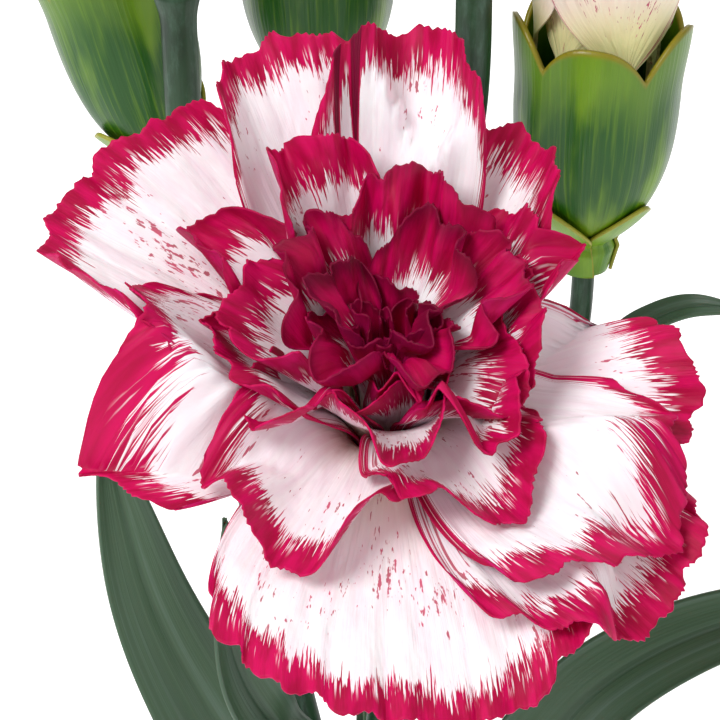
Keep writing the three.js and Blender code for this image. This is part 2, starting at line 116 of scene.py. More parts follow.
# %% [markdown]
# ## The outline of a petal
# A petal is a narrow claw that opens into a fan with a rounded rim. It could be drawn as a flat outline
# and bent, but a formula for its width at each share of its length bends with it for nothing.

# %% The outline of a petal
WIDEST = 2.2  # radians round the axis that half a petal may cover
CORNER_LOSS = 0.3  # share of its length that a petal lacks at its corners
PETAL_COLUMNS = "name azimuth tilt reach half lift_left lift_right waves depth phase band".split()


def half_width(petal, share):
    """A narrow claw that opens into a fan."""
    fan = np.sin(np.pi / 2 * np.clip(share, 0, 1) ** 1.15)
    return CLAW_HALF + (petal["half"] - CLAW_HALF) * fan


def spread(petal, share):
    """The degrees round the axis from the middle of a petal to its edge."""
    radius = fountain(petal["tilt"], 0.0, share * petal["reach"], petal["ring"])[..., 0]
    return np.degrees(WIDEST * np.tanh(half_width(petal, share) / radius / WIDEST))


def run_at(petal, u, share):
    """The rim is round: a petal is shorter towards its two corners."""
    return share * petal["reach"] * (1 - CORNER_LOSS * np.abs(u) ** 3)


def free_tilt(petal, u, share):
    """The tilt of a petal that nothing lies under: its edges lift and its rim is ruffled."""
    grown = smooth(share, 0.15, 1)
    lift = petal["lift_left"] * smooth(-u, 0.3, 1) + petal["lift_right"] * smooth(u, 0.3, 1)
    ruffle = petal["depth"] * np.sin(np.pi / 2 * petal["waves"] * u + petal["phase"])
    return petal["tilt"] - lift * grown + ruffle * grown * grown


# %% [markdown]
# ## How petals lie on each other
# In the real bloom each petal rests on those outside it. A cloth simulation of so many ruffled petals
# would take minutes and still let some pass through others. Here a chart keeps, for each azimuth and
# run, the tilt that is still free, and every petal from the outermost inwards is laid on that floor and
# then lowers it. No petal can cross another, and inner petals take up the ruffles of outer ones.

# %% The floor of free tilt
AZIMUTH_STEP, RUN_STEP = 3.0, 1.5
AZIMUTHS = np.arange(0, 360, AZIMUTH_STEP)[:, None]
RUNS = (np.arange(28) * RUN_STEP)[None, :]
CLEARANCE = 1.15  # mm between the middles of petals that lie on each other


def over_neighbours(chart, combine):
    """Lowest, then mean, over the cells around: this smooths the floor without raising it."""
    padded = np.pad(chart, ((0, 0), (1, 1)), mode="edge")

    def near(reach):
        turned = [np.roll(padded, a, 0) for a in range(-reach, reach + 1)]
        return combine([cells[:, r:r + chart.shape[1]] for cells in turned for r in range(3)], 0)

    return np.where(RUNS > 15, near(1), near(3))


def sample(chart, azimuth, run):
    """The chart between its cells."""
    a, r = azimuth / AZIMUTH_STEP, np.clip(run / RUN_STEP, 0, chart.shape[1] - 1.001)
    i, j = np.floor(a).astype(int), np.floor(r).astype(int)
    a, r, count = a - i, r - j, chart.shape[0]
    low, high = i % count, (i + 1) % count
    near = chart[low, j] * (1 - r) + chart[low, j + 1] * r
    return near * (1 - a) + (chart[high, j] * (1 - r) + chart[high, j + 1] * r) * a


def settle(wanted, allowed):
    """The lesser of two tilts, rounded where they meet, and never across the axis."""
    gap = np.abs(wanted - allowed)
    return np.maximum(np.minimum(wanted, allowed) - 1.2 * np.log1p(np.exp(-gap / 1.2)), 2.5)


# %% [markdown]
# ## Laying the petals
# Claws that stand side by side share a ring, and claws behind each other need rings of their own, a
# little further in. The chart starts fully open, and each petal that is laid closes the part it covers.

# %% Laying the petals
OPEN = 170.0  # degrees of tilt that nothing limits
CLAW_ROOM = 2.35  # mm between claws on one ring
RING_STEP = 0.52  # mm from a ring to the next one inwards


def turn_between(a, b):
    """The turn from b to a, from -180 to 180 degrees."""
    return (a - b + 540) % 360 - 180


def lay_petals(rows, first_ring):
    """Lays petals from the outermost to the innermost, and gives each its ring and its tilt_at."""
    floor = np.full((AZIMUTHS.shape[0], RUNS.shape[1]), OPEN)
    laid = []
    for row in rows:
        petal = dict(zip(PETAL_COLUMNS, row))
        ring = laid[-1]["ring"] if laid else first_ring
        for other in laid:
            if np.radians(abs(turn_between(petal["azimuth"], other["azimuth"]))) * ring < CLAW_ROOM:
                ring = min(ring, other["ring"] - RING_STEP)
        petal["ring"] = ring
        support = over_neighbours(over_neighbours(floor, np.min), np.mean)

        def tilt_at(u, share, petal=petal, support=support):
            azimuth = petal["azimuth"] + u * spread(petal, share)
            return settle(free_tilt(petal, u, share), sample(support, azimuth, run_at(petal, u, share)))

        petal["tilt_at"] = tilt_at
        turn = turn_between(AZIMUTHS, petal["azimuth"]) + 0 * RUNS
        share = RUNS / petal["reach"] + 0 * AZIMUTHS
        for _ in range(4):
            u = np.clip(turn / spread(petal, np.minimum(share, 1)), -1.3, 1.3)
            share = RUNS / (petal["reach"] * (1 - CORNER_LOSS * np.minimum(np.abs(u), 1) ** 3))
        room = np.degrees(CLEARANCE / (0.8 * RUNS + 4)) * smooth(RUNS, 0, 6)
        level = tilt_at(np.clip(u, -1, 1), np.minimum(share, 1)) - room
        covered = (np.abs(u) < 1.05) & (share < 1.05)
        floor = np.where(covered, np.minimum(floor, level), floor)
        laid.append(petal)
    return laid


# %% [markdown]
# ## Growing one petal
# The rim of a carnation petal is pinked, as if cut with fine shears, and frilled more tightly than the
# petal itself. The teeth lengthen each column of points by a little, and the frill is a small wave added
# after the petal is laid, lower than the clearance to its neighbours.

# %% A petal's grid
TOOTH = 0.9  # mm from one tooth of the rim to the next
USUAL_BAND = 3.6  # mm, the crimson edge that the finish is written for
FAR_FROM_RIM = 60  # mm, the mark of the claws, which have no crimson


def grow_petal(petal, dice, frill=0.42, teeth=0.42, claw_length=20):
    """The points of a petal and its marks: mm across, mm from the rim, share of its length."""
    columns = int(np.clip(petal["half"] * 8, 64, 176))
    u = np.linspace(-1, 1, columns + 1)[None, :]
    along = 1 - (1 - np.linspace(0, 1, 34)) ** 1.35
    share = along[:, None] + 0 * u
    across = u * petal["half"] + 0 * share
    run = run_at(petal, u, share)
    jag = wander(across, dice, [(9.1, 0.4), (5.3, 0.35), (3.1, 0.2)])
    saw = np.abs((across / TOOTH + wander(across, dice, [(4.7, 0.5), (2.9, 0.3)])) % 1 - 0.5)
    outer = smooth(run, petal["reach"] * 0.6, petal["reach"])
    run = run + jag * share ** 4 + teeth * (2 * saw - 1) * outer
    tilt = petal["tilt_at"](u, share)
    wave = wander(across, dice, [(7.3, 0.6), (4.6, 0.7), (3.1, 0.35)])
    tilt = tilt + np.degrees(frill * wave / (run + 4)) * smooth(share, 0.45, 1)
    azimuth = petal["azimuth"] + u * spread(petal, share)
    sway = wander(across, dice, [(8.3, 0.7), (5.1, 0.5)])
    azimuth = azimuth + np.degrees(0.5 * sway / (run + 6)) * share ** 2
    blade = fountain(np.maximum(tilt, 1.5), azimuth, run, petal["ring"])
    foot = np.linspace(-claw_length, -4, 4)[:, None] + 0 * u
    claw_azimuth = petal["azimuth"] + u * np.degrees(CLAW_HALF / petal["ring"])
    claw = fountain(petal["tilt"], claw_azimuth, foot, petal["ring"])
    side = (1 - np.abs(u)) * half_width(petal, share)
    rim = run_at(petal, u, 1) - run_at(petal, u, share)
    edge = np.minimum(rim, side * 1.6 + 3.5 * (1 - share) ** 0.5)
    marks = np.stack([across, edge + USUAL_BAND - petal["band"], share], -1)
    still = np.stack([foot * 0 + u * CLAW_HALF, foot * 0 + FAR_FROM_RIM, foot * 0], -1)
    return np.vstack([claw, blade]), np.vstack([still, marks])


# %% [markdown]
# ## Writing a material as formulas
# A procedural material is a chain of small steps. The recipe below adds those steps one by one, so the
# formulas can be read in the order in which they work.

# %% Material recipes
def srgb(r, g, b):
    """A colour as seen on a screen, 0 to 255, as the linear colour that Blender mixes."""
    parts = [c / 255 for c in (r, g, b)]
    return (*[c / 12.92 if c <= 0.04045 else ((c + 0.055) / 1.055) ** 2.4 for c in parts], 1.0)


class Recipe:
    """A node material, built step by step."""

    def __init__(self, name, **skin):
        self.material = bpy.data.materials.new(name)
        self.material.use_nodes = True
        self.tree = self.material.node_tree
        self.shader = self.tree.nodes["Principled BSDF"]
        for socket, value in skin.items():
            title = socket.replace("_", " ").title().replace("Ior", "IOR")
            self.shader.inputs[title].default_value = value

    def add(self, kind, inputs=(), output=0, **settings):
        node = self.tree.nodes.new(kind)
        for key, value in settings.items():
            setattr(node, key, value)
        for socket, value in dict(inputs).items():
            self.join(value, node.inputs[socket])
        return node.outputs[output]

    def join(self, value, socket):
        if isinstance(value, bpy.types.NodeSocket):
            self.tree.links.new(value, socket)
        else:
            socket.default_value = value

    def marks(self):
        vector = self.add("ShaderNodeAttribute", output="Vector", attribute_name="marks")
        node = self.add("ShaderNodeSeparateXYZ", {0: vector}).node
        return node.outputs[0], node.outputs[1], node.outputs[2]

    def math(self, operation, a, b=0.0, c=0.0):
        return self.add("ShaderNodeMath", {0: a, 1: b, 2: c}, operation=operation)

    def place(self, x, y=0.0, z=0.0, scale=(1, 1, 1)):
        parts = [self.math("MULTIPLY", v, s) if s != 1 else v for v, s in zip((x, y, z), scale)]
        return self.add("ShaderNodeCombineXYZ", dict(enumerate(parts)))

    def noise(self, vector, scale, detail=2.0, roughness=0.5):
        inputs = {"Vector": vector, "Scale": scale, "Detail": detail, "Roughness": roughness}
        return self.add("ShaderNodeTexNoise", inputs)

    def step(self, value, low, high, start=0.0, end=1.0):
        inputs = {0: value, 1: low, 2: high, 3: start, 4: end}
        return self.add("ShaderNodeMapRange", inputs, interpolation_type="SMOOTHSTEP")

    def blend(self, factor, a, b):
        node = self.add("ShaderNodeMix", data_type="RGBA").node
        for socket, value in ((0, factor), (6, a), (7, b)):
            self.join(value, node.inputs[socket])
        return node.outputs[2]

    def bump(self, height, strength, depth):
        inputs = {"Height": height, "Strength": strength, "Distance": depth * MM}
        normal = self.add("ShaderNodeBump", inputs)
        self.join(normal, self.shader.inputs["Normal"])


# %% [markdown]
# ## The picotee finish
# The petals are white, with a crimson edge a few millimetres wide that runs inwards in fine streaks, a
# few thin flecks between, and a warm, greenish throat. A painted picture would need a flat layout of
# every petal. The marks give the same thing by formula: noise that is stretched along the petal moves
# the border of the crimson in and out, and round cells, stretched too, make the flecks.

# %% Petal finishes
# The third colour is a darker crimson, a painted shade for the rims of the inner petals in the shadow of the
# crown.
CRIMSON, BRIGHT, SHADED_CRIMSON = srgb(166, 0, 60), srgb(200, 0, 86), srgb(84, 0, 32)


def petal_finish(name, ground, shade, throat, crimson, bright, shaded_red, streaks=10.5, inset=1.9, flecks=0.85):
    """streaks: mm that the crimson runs in and out. inset: mm of its plain rim. flecks: their strength."""
    r = Recipe(name, roughness=0.55, subsurface_weight=0.2, subsurface_scale=0.0008,
               specular_ior_level=0.18)
    r.shader.inputs["Subsurface Radius"].default_value = (1.0, 0.5, 0.5)
    across, edge, share = r.marks()
    fine = r.noise(r.place(across, edge, 0.0, (1, 0.045, 1)), 5.0, 2.5, 0.6)
    middle = r.noise(r.place(across, edge, 6.0, (1, 0.12, 1)), 1.1, 1.0)
    broad = r.noise(r.place(across, edge, 5.0, (1, 0.3, 1)), 0.17, 1.0)
    plain_rim = r.math("MULTIPLY_ADD", broad, 4.0, inset)
    border = r.math("MULTIPLY_ADD", r.math("SUBTRACT", fine, 0.5), streaks, plain_rim)
    border = r.math("MULTIPLY_ADD", r.math("SUBTRACT", middle, 0.5), 3.6, border)
    inside = r.step(r.math("SUBTRACT", border, edge), -0.35, 0.35)
    pale = r.noise(r.place(across, edge, 9.0, (1, 0.06, 1)), 4.0, 1.0)
    pale = r.math("MULTIPLY", r.step(pale, 0.6, 0.7), r.step(edge, 1.0, 3.2, 0.0, 0.85))
    inside = r.math("MULTIPLY", inside, r.math("SUBTRACT", 1.0, pale))
    dash = r.noise(r.place(across, edge, 3.0, (1, 0.32, 1)), 1.9, 2.5, 0.6)
    flock = r.noise(r.place(across, edge, 8.0, (1, 0.7, 1)), 0.14, 0.0)
    fleck = r.math("MULTIPLY", r.step(r.math("MULTIPLY_ADD", flock, 0.5, dash), 0.935, 0.985), flecks)
    mask = r.math("MAXIMUM", inside, fleck)
    tone = r.noise(r.place(across, edge, 7.0, (1, 0.2, 1)), 0.9, 3.0)
    red = r.blend(r.step(tone, 0.35, 0.65), crimson, bright)
    # Where the crimson band is wider than usual, on the inner petals, the red darkens towards the rim:
    # painted shade for the shadows deep in the crown.
    red = r.blend(r.step(edge, -4.0, -0.6, 0.8, 0.0), red, shaded_red)
    # The white ground turns to a pinker colour in soft random patches: painted shade, for the soft shading of
    # crumpled petals.
    body = r.blend(r.step(tone, 0.3, 0.7), ground, shade)
    body = r.blend(r.step(share, 0.12, 0.6), throat, body)
    r.join(r.blend(mask, body, red), r.shader.inputs["Base Color"])
    vein = r.noise(r.place(across, edge, 0.0, (1, 0.05, 1)), 1.6, 3.0, 0.6)
    crumple = r.noise(r.place(across, edge, 1.0, (1, 0.5, 1)), 0.3, 2.0)
    r.bump(r.math("MULTIPLY_ADD", crumple, 6.0, vein), 0.45, 0.3)
    return r.material


upper = petal_finish("petal upper side", srgb(253, 247, 249), srgb(250, 235, 242), srgb(246, 220, 200),
                     CRIMSON, BRIGHT, SHADED_CRIMSON)
lower = petal_finish("petal underside", srgb(246, 230, 236), srgb(240, 214, 226), srgb(226, 214, 160),
                     srgb(172, 2, 68), srgb(200, 16, 100), srgb(112, 2, 52), streaks=12.0)
furled = petal_finish("furled bud petal", srgb(244, 226, 214), srgb(238, 214, 204), srgb(230, 222, 160),
                      srgb(160, 4, 70), srgb(190, 16, 96), srgb(110, 4, 60), inset=-0.4, flecks=0.95)
print("petal finishes:", upper.name, lower.name, furled.name)

# %% [markdown]
# ## The open bloom
# The bloom leans towards the front. Its wide guard petals lie flat or slightly turned down in front and stand
# more steeply behind. Towards the middle the petals are smaller, steeper and redder, their rims darkened with
# painted shade, and the crown is tightly ruffled. Each row of the table is one petal, from the outermost
# inwards.

# %% The petals of the bloom
NOD = 10
BLOOM_CENTRE = (0, -12, 123)
BLOOM_PETALS = [
    # name, azimuth, tilt, reach, half width, lift left, lift right, waves, depth, phase, band
    ("front_guard", -87, 98, 39, 30, 5, 5, 3, 4, 0.3, 3.8),
    ("left_guard", 155, 60, 40, 30, 2, 8, 3, 6, 1.2, 3.6),
    ("right_guard", -45, 98, 36.5, 20, 3, 3, 3, 4, 2.0, 4.0),
    ("back_left_guard", 112, 46, 41.5, 15, 6, 2, 3, 5, 0.6, 3.6),
    ("right_back_guard", 50, 42, 33, 13, 4, 4, 3, 5, 1.0, 4.2),
    ("left_low", 193, 90, 33, 18, 3, 6, 3, 5, 2.6, 3.6),
    ("right_high", -11, 76, 32, 14, 4, 4, 3, 6, 2.4, 4.2),
    ("back_top", 86, 43, 41.3, 15.5, 8, 8, 3, 6, 1.6, 4.2),
    ("right_big", -41, 88, 34.5, 19, 4, 12, 3, 6, 0.4, 3.8),
    ("front_left_fold", -119, 80, 27, 16, 10, 8, 4, 10, 0.2, 3.8),
    ("back_right", 24, 46, 28, 13, 8, 8, 3, 8, 0.9, 4.4),
    ("left_front_small", -162, 58, 25, 13, 10, 16, 3, 10, 2.2, 4.0),
    ("front_right_fold", -62, 74, 25, 15, 10, 12, 4, 10, 1.1, 4.2),
    ("left_upright", 158, 48, 30, 9, 16, 16, 3, 8, 2.9, 5.5),
    ("right_ruffle", 2, 46, 25, 12, 8, 8, 4, 10, 0.5, 4.6),
    ("back_left_inner", 121, 33, 32, 13, 8, 10, 3, 8, 1.9, 5.0),
    ("front_right_lobe", -30, 44, 22, 12, 6, 8, 3, 8, 2.7, 4.6),
    ("left_face", 184, 42, 26, 13, 8, 8, 3, 8, 0.1, 4.6),
    ("front_left_lobe", -114, 31, 18.5, 9.5, 6, 6, 3, 9, 1.4, 4.2),
    ("front_lobe", -64, 31, 18.5, 9.5, 6, 6, 3, 9, 2.5, 4.2),
    ("crown_back", 78, 30, 29, 14, 6, 6, 4, 9, 0.8, 6.0),
    ("crown_right", 14, 34, 26, 13, 6, 6, 4, 9, 2.1, 6.0),
    ("crown_left", 150, 28, 27, 12, 4, 4, 4, 8, 1.5, 6.5),
    ("crown_front_left", -140, 25, 22, 11, 4, 4, 4, 8, 0.2, 6.5),
    ("crown_front", -50, 24, 21, 11, 4, 4, 4, 8, 2.8, 6.5),
    ("crown_back_right", 50, 20, 26, 11, 3, 3, 4, 7, 1.0, 7.0),
    ("heart_left", 170, 15, 24, 10, 2, 2, 3, 5, 0.5, 8.0),
    ("heart_right", -30, 12, 21, 9, 2, 2, 3, 4, 2.0, 8.0),
]


class Place:
    """Where a flower stands: points in its own frame, axis up, go to the part's frame."""

    def __init__(self, mouth, axis):
        self.mouth = np.array(mouth, float)
        self.turn = np.array(Vector((0, 0, 1)).rotation_difference(Vector(axis)).to_matrix())

    def __call__(self, points):
        return points @ self.turn.T + self.mouth


def streak(marks, place_across, wide):
    """A crimson streak along a petal, as some real ones have."""
    along = smooth(marks[..., 2], 0.4, 0.55)
    marks[..., 1] -= 16 * np.exp(-(((marks[..., 0] - place_across) / wide) ** 2)) * along


bloom = Place(BLOOM_CENTRE, (0, -np.sin(np.radians(NOD)), np.cos(np.radians(NOD))))
for number, petal in enumerate(lay_petals(BLOOM_PETALS, 5.3)):
    band = petal["band"]  # the redder petals, further in, are the more frilled ones
    frill = 0.45 + 0.3 * smooth(band, 4.2, 5) + 0.35 * smooth(band, 5, 6.5)
    points, marks = grow_petal(petal, np.random.default_rng(100 + number), frill=frill)
    if petal["name"] == "back_top":
        streak(marks, 8.4, 0.5)
        streak(marks, 6.0, 0.35)
    marks[..., 0] += 83.0 * number  # so that no two petals have the same pattern
    skin("petal_" + petal["name"] + "_look", bloom(points), marks, [upper, lower],
         "petal_" + petal["name"], "bloom_petal", thick=0.2)
print("laid", len(BLOOM_PETALS), "petals")

# %% [markdown]
# ## Green skins
# A calyx is a smooth leathery tube, yellow-green, with fine nerves that run up into five pointed lobes with a
# thin dry margin; its lighter green at the foot and towards the lobes is painted light. Stems and leaves wear
# a whitish wax over a dark blue-green, rubbed away in places. Noise stretched along the growth makes the
# nerves.

# %% Calyx, stem and leaf finishes
def green_finish(name, dark, light, foot, margin, rough, wax=None, nerves=1.4, lights=(0.36, 0.62)):
    """foot and margin: colours at the base and the rim. wax: colour of the rubbed wax, if there is any."""
    r = Recipe(name, roughness=rough, subsurface_weight=0.1, subsurface_scale=0.001,
               specular_ior_level=0.4)
    across, edge, share = r.marks()
    patch = r.noise(r.place(across, edge, 1.0, (1, 0.4, 1)), 0.2, 3.0)
    nerve = r.noise(r.place(across, edge, 4.0, (1, 0.04, 1)), nerves, 3.0, 0.6)
    colour = r.blend(r.step(patch, *lights), dark, light)
    colour = r.blend(r.step(nerve, 0.48, 0.7, 0.0, 0.4), colour, light)
    # On a calyx the lighter green at the foot and towards the lobes is painted light; on bracts and leaves
    # these two steps give a paler base and margin.
    colour = r.blend(r.step(share, 0.0, 0.3, 0.85, 0.0), colour, foot)
    colour = r.blend(r.step(edge, 1.0, 8.0, 0.6, 0.0), colour, light)
    colour = r.blend(r.step(edge, 0.05, 0.8, 0.75, 0.0), colour, margin)
    if wax:
        bloom_wax = r.noise(r.place(across, edge, 8.0, (1, 0.35, 1)), 0.7, 5.0, 0.65)
        colour = r.blend(r.step(bloom_wax, 0.45, 0.75, 0.0, 0.5), colour, wax)
    r.join(colour, r.shader.inputs["Base Color"])
    r.bump(nerve, 0.4, 0.2)
    return r.material


calyx_skin = green_finish("calyx skin", srgb(22, 78, 4), srgb(104, 142, 10), srgb(124, 152, 20),
                          srgb(140, 120, 26), 0.34, nerves=2.2, lights=(0.48, 0.75))
bract_skin = green_finish("bract skin", srgb(46, 104, 8), srgb(116, 154, 20), srgb(88, 132, 30),
                          srgb(160, 150, 50), 0.38)
stem_skin = green_finish("stem skin", srgb(14, 38, 22), srgb(28, 62, 34), srgb(34, 70, 40),
                         srgb(28, 62, 34), 0.4, wax=srgb(74, 104, 86), nerves=1.8)
leaf_skin = green_finish("leaf skin", srgb(30, 52, 38), srgb(52, 80, 52), srgb(62, 96, 54),
                         srgb(70, 100, 70), 0.4, wax=srgb(92, 114, 102), nerves=2.4)
print("green finishes:", calyx_skin.name, bract_skin.name, stem_skin.name, leaf_skin.name)

# %% [markdown]
# ## Calyces
# The tube could be a turned shape cut with teeth. Raising the top edge by a formula keeps the grid whole:
# each of the five lobes rises to a point, and the notches between them are V shaped.

# %% A calyx and its bracts
def calyx_radius(radius, q, tube):
    """The radius at q, from 0 at the foot to 1 at the mouth, of a straight tube or of a full bowl."""
    return radius * ((0.42 + 0.58 * (1 - (1 - q) ** 7)) if tube else (0.25 + 0.75 * (1 - (1 - q) ** 4)))


def calyx(place, name, radius, length, tip, flare, turn=0.0, tube=False):
    """tip: mm that the lobes rise above the mouth. flare: mm that they lean out."""
    angle = np.linspace(0, 2 * np.pi, 150, endpoint=False)[None, :]
    across = np.abs(((angle / (2 * np.pi) * 5 + turn) % 1) * 2 - 1)
    top = -0.6 + (tip + 0.6) * (1 - across ** (1.5 if tube else 2.4)) + 0.4 * np.sin(3 * angle + radius)
    along = np.linspace(0, 1, 40)[:, None]
    height = -length + along * (top + length)
    q = np.clip((height + length) / length, 0, 1)
    rib = 0.07 * np.cos(10 * angle) * np.sin(np.pi * np.clip(q, 0, 1))
    r = calyx_radius(radius, q, tube) + rib + flare * smooth(height, -5, tip) + 0 * height
    r[0] = 1.2
    grid = np.stack([r * np.cos(angle), r * np.sin(angle), height], -1)
    marks = np.stack([angle * radius + 0 * q, (top - height) * 0.8, q], -1)
    skin(name + "_look", place(grid), marks, [calyx_skin], name, "calyx",
         thick=0.55, ring=True, outward=True)


BRACT_DROP = 4  # mm that the bracts reach down the stem


def bracts(place, name, radius, length, tube=False):
    """Two crossed pairs of broad pointed scales that clasp the foot of the calyx."""
    for number, azimuth in enumerate((45, 225, 135, 315)):
        u = np.linspace(-1, 1, 31)[None, :]
        along = np.linspace(0, 1, 22)[:, None]
        rise = (0.36 if tube else 0.27) * length + BRACT_DROP
        height = -length - BRACT_DROP + along * rise * (1 - 0.5 * np.abs(u) ** 1.6)
        q = np.clip((height + length) / length, 0, 1)
        sheath = np.interp(height, [-length - BRACT_DROP, -length - 1, -length],
                           [2.3, 2.9, calyx_radius(radius, 0, tube)])
        r = np.where(height > -length, calyx_radius(radius, q, tube), sheath)
        r = r + 0.45 + (0.5 if azimuth in (45, 225) else 0.0) + 0.35 * along ** 3
        angle = np.radians(azimuth) + u * np.radians(62) * (1 - 0.25 * along)
        grid = np.stack([r * np.cos(angle), r * np.sin(angle), height], -1)
        edge = np.minimum((1 - along) * rise, (1 - np.abs(u)) * radius) + 0 * u
        marks = np.stack([u * radius + 40 * number + 0 * along, edge, along * 0.6 + 0 * u], -1)
        skin(name + "_look", place(grid), marks, [bract_skin], name, "calyx", thick=0.4, outward=True)


BLOOM_CALYX_RADIUS, BLOOM_CALYX_LENGTH = 7.4, 27
calyx(bloom, "bloom_calyx", BLOOM_CALYX_RADIUS, BLOOM_CALYX_LENGTH, 4.5, 1.3, tube=True)
bracts(bloom, "bloom_bracts", BLOOM_CALYX_RADIUS, BLOOM_CALYX_LENGTH, tube=True)
print("calyx of the bloom:", 2 * BLOOM_CALYX_RADIUS, "mm wide,", BLOOM_CALYX_LENGTH, "mm long")

# %% [markdown]
# ## Side flowers
# Opening buds show their furled petals standing in the mouth of the calyx. They are laid by the same
# rules as the bloom's, only steeper. A tight bud is a calyx whose lobes still meet in a point.

# %% The side flowers
SIDE_FLOWERS = [
    # name, mouth, axis, radius, length, tip, course of the branch
    ("right_bud", (24, 30, 147), (0.8, 2, 26), 9.4, 24, 4,
     [(4.6, 0, 47.6), (8.5, 5, 62), (15, 15, 88), (22, 25, 108)]),
    ("left_bud", (-31.5, 34.5, 155), (-6, 1, 25), 8, 25, 3.5,
     [(-4.6, 0, 47.6), (-9, 6, 68), (-17, 19, 96), (-25, 31, 115)]),
    ("centre_bud", (-8, 45, 158), (-0.5, 1, 26), 9.2, 25, 3.5,
     [(0, 4.6, 71.6), (-1, 12, 84), (-4, 34, 108), (-7, 43, 124)]),
    ("small_bud_right", (9.6, 24.5, 189), (0.2, 0.5, 26), 4.8, 22, 2,
     [(-3.6, 31.5, 101), (-0.8, 29.5, 106), (4, 28.5, 118), (9, 25, 140)]),
    ("small_bud_left", (-22.5, 21.5, 180), (0.1, 0.2, 22), 4.6, 21, 2,
     [(-14.6, 16.3, 87), (-13.2, 13.4, 92), (-16.5, 15.5, 106), (-21.5, 19.5, 132)]),
]
BUD_PETALS = {
    "right_bud": [("front", -72, 25, 21, 17, 3, 3, 3, 4, 0.6, 3.2),
                  ("right", 30, 19, 21, 15, 3, 3, 3, 4, 1.9, 3.2),
                  ("left", 168, 21, 20, 14, 2, 2, 3, 3, 0.2, 3.2)],
    "left_bud": [("front", -60, 24, 19, 15, 3, 3, 3, 4, 2.0, 3.4),
                 ("back", 80, 17, 19, 13, 3, 3, 3, 4, 0.4, 3.4),
                 ("left", 190, 15, 18, 12, 2, 2, 3, 3, 1.1, 3.4)],
    "centre_bud": [("front", -80, 12, 15, 13, 3, 3, 3, 4, 1.2, 3.0),
                   ("back", 95, 9, 15, 12, 2, 2, 3, 3, 0.3, 3.0)],
}


def tight_bud(place, name, radius, length):
    """A closed bud, with creases where the lobes of its calyx meet."""
    angle = np.linspace(0, 2 * np.pi, 64, endpoint=False)[None, :]
    q = (1 - np.cos(np.pi * np.linspace(0, 1, 46)))[:, None] / 2
    belly = np.interp(q, [0, 0.05, 0.15, 0.35, 0.55, 0.78, 0.92, 1],
                      [0.3, 0.5, 0.78, 0.95, 1, 0.88, 0.5, 0.04])
    crease = 1 - 0.1 * smooth(q, 0.6, 1) * np.abs(np.cos(2.5 * angle))
    r = radius * belly * crease
    grid = np.stack([r * np.cos(angle), r * np.sin(angle), (q - 1) * length + 0 * angle], -1)
    edge = 30 + 0 * angle - 29 * smooth(q, 0.86, 1)
    marks = np.stack([angle * radius + 0 * q, edge, q + 0 * angle], -1)
    skin(name + "_look", place(grid), marks, [calyx_skin], name, "calyx", ring=True, outward=True)


# %% [markdown]
# ## Rolled petals and small lobes
# A double flower has many more petals than the part needs as solids. The youngest stand rolled up in
# the middle, and a few small lobes lie between the front folds and the crown, where they hide the
# throat. They are laid whorl by whorl, by the same rules, and belong to no node of their own.

# %% The petals in the middle
FURLED_WHORLS = [
    # share of the flower's radius, tilt, azimuth and reach of each petal
    (0.66, 11, [(100, 18), (222, 17), (340, 18)]),
    (0.4, 8, [(40, 16.5), (160, 17), (280, 16)]),
    (0.16, 4, [(110, 15), (300, 14.5)]),
]


def furl(place, name, radius, finishes, slot, band, longer=0.0):
    """The rolled petals that fill the middle of a flower, inside those that have a node."""
    for whorl, (share, tilt, petals) in enumerate(FURLED_WHORLS):
        half = 1.9 * share * radius + 2.5
        rows = [(f"{whorl}{k}", azimuth, tilt, reach + longer, half, 2, 2, 4, 5, k + whorl, band)
                for k, (azimuth, reach) in enumerate(petals)]
        for k, petal in enumerate(lay_petals(rows, share * radius)):
            dice = np.random.default_rng(900 + 10 * whorl + k + int(10 * radius))
            points, marks = grow_petal(petal, dice, claw_length=8)
            marks[..., 0] += 61.0 * (5 * whorl + k)
            piece_name = f"{name}_furl_{petal['name']}_look"
            skin(piece_name, place(points), marks, finishes, slot=slot, thick=0.2)


furl(bloom, "petal_heart", 3.2, [upper, lower], "bloom_petal", 7.0, longer=2.0)
FRONT_LOBES = [
    ("middle_lobe", -92, 46, 23, 12, 9, 9, 3, 10, 0.7, 4.0),
    ("left_lobe", -138, 50, 22.5, 10, 9, 9, 3, 9, 1.9, 4.0),
    ("right_lobe", -46, 52, 23, 10, 9, 9, 3, 9, 3.0, 4.0),
]
for number, petal in enumerate(lay_petals(FRONT_LOBES, 4.2)):
    points, marks = grow_petal(petal, np.random.default_rng(700 + number), frill=0.6)
    marks[..., 0] += 83.0 * (number + 40)
    skin("petal_front_" + petal["name"] + "_look", bloom(points), marks, [upper, lower],
         slot="bloom_petal", thick=0.2)
print("added", len(FRONT_LOBES), "small lobes and", sum(len(w[2]) for w in FURLED_WHORLS), "rolled petals")

# %% [markdown]
# ## Putting the side flowers in place
# Each side flower has a mouth and an axis, and is built upright at the origin and then turned there.

# %% The side flowers in place
BUD_PETAL_GAP = 1.2  # mm from the wall of the calyx to the middle of the outer petals
places = {}
for number, (name, mouth, axis, radius, length, tip, course) in enumerate(SIDE_FLOWERS):
    place = places[name] = Place(mouth, axis)
    if name not in BUD_PETALS:
        tight_bud(place, name + "_calyx", radius, length)
        continue
    calyx(place, name + "_calyx", radius, length, tip, 0.7, turn=0.875)
    bracts(place, name + "_bracts", radius, length)
    for k, petal in enumerate(lay_petals(BUD_PETALS[name], 0.92 * radius - BUD_PETAL_GAP)):
        dice = np.random.default_rng(300 + 10 * number + k)
        points, marks = grow_petal(petal, dice, frill=0.3, claw_length=12)
        marks[..., 0] += 47.0 * (7 * number + k)
        node = f"{name}_petal_{petal['name']}"
        skin(node + "_look", place(points), marks, [furled, furled], node, "bud_petal", thick=0.26)
    furl(place, name, radius, [furled, furled], "bud_petal", 3.2)
